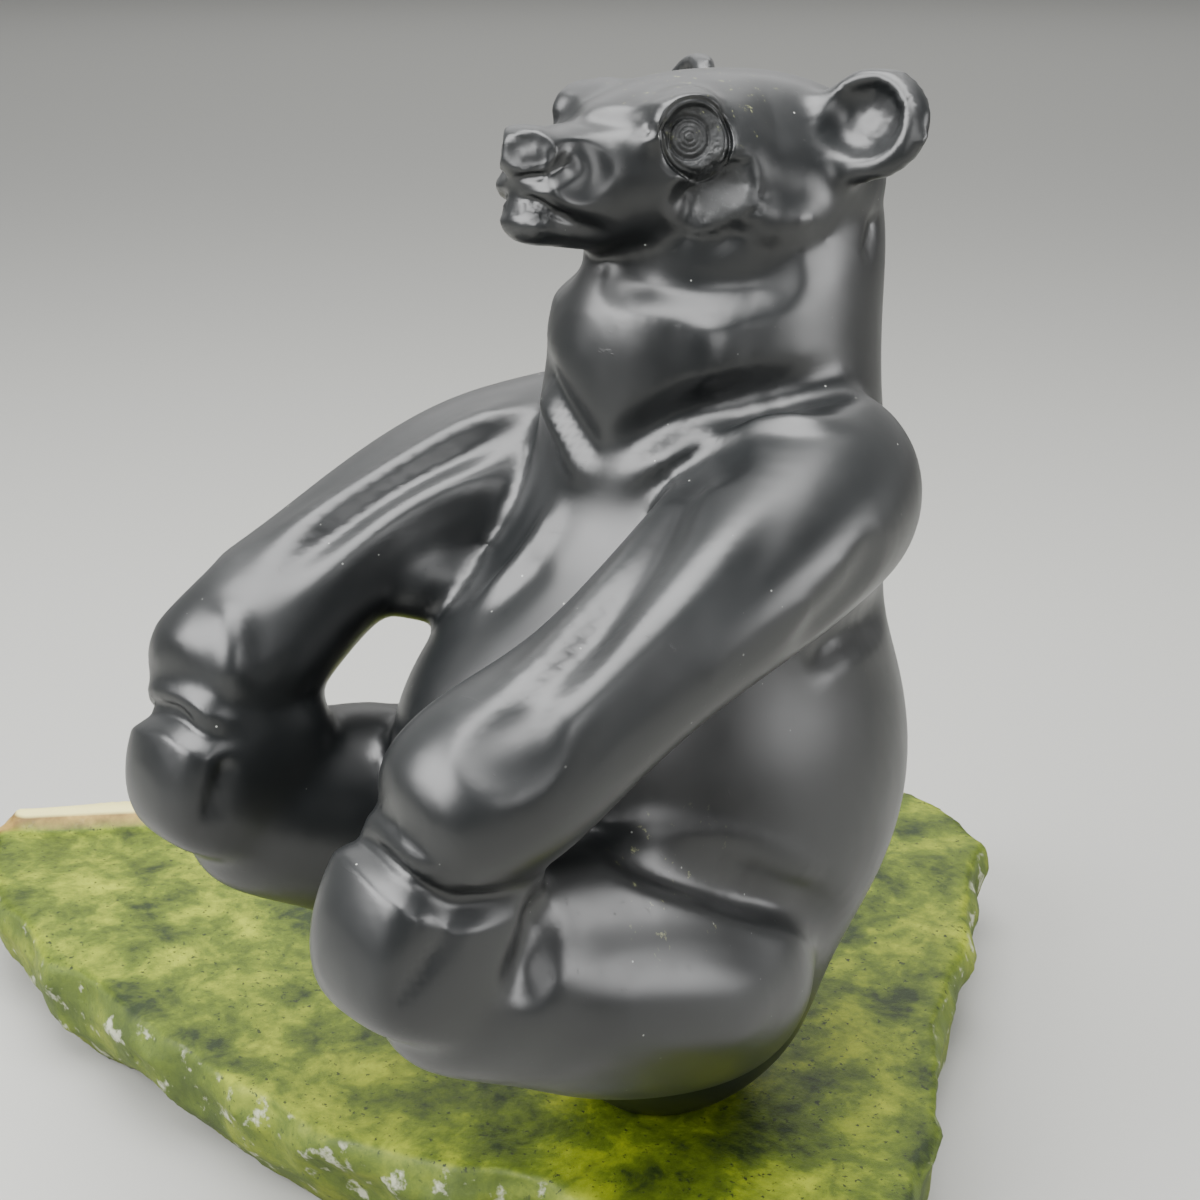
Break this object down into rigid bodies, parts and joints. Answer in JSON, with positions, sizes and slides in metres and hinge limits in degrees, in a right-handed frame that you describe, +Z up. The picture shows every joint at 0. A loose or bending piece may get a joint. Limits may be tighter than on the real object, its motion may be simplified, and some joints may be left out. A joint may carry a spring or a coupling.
{
  "type": "stone bear sculpture",
  "caption": "seated bear carved from polished black stone, holding its raised feet with its paws, on a rough slab of green stone",
  "frame": {"origin": "on the flat underside of the slab, under the middle of the slab's outline", "axes": "+Z up, the bear faces -Y, the bear's left side is +X"},
  "size_m": [0.333, 0.287, 0.2657],
  "materials": {
    "black_stone": "hand polished, soft gloss",
    "green_stone": "sawn and rubbed top, broken sides"
  },
  "bodies": {
    "root": {"bear": "black_stone", "green_stone_slab": "green_stone"}
  },
  "joints": []
}
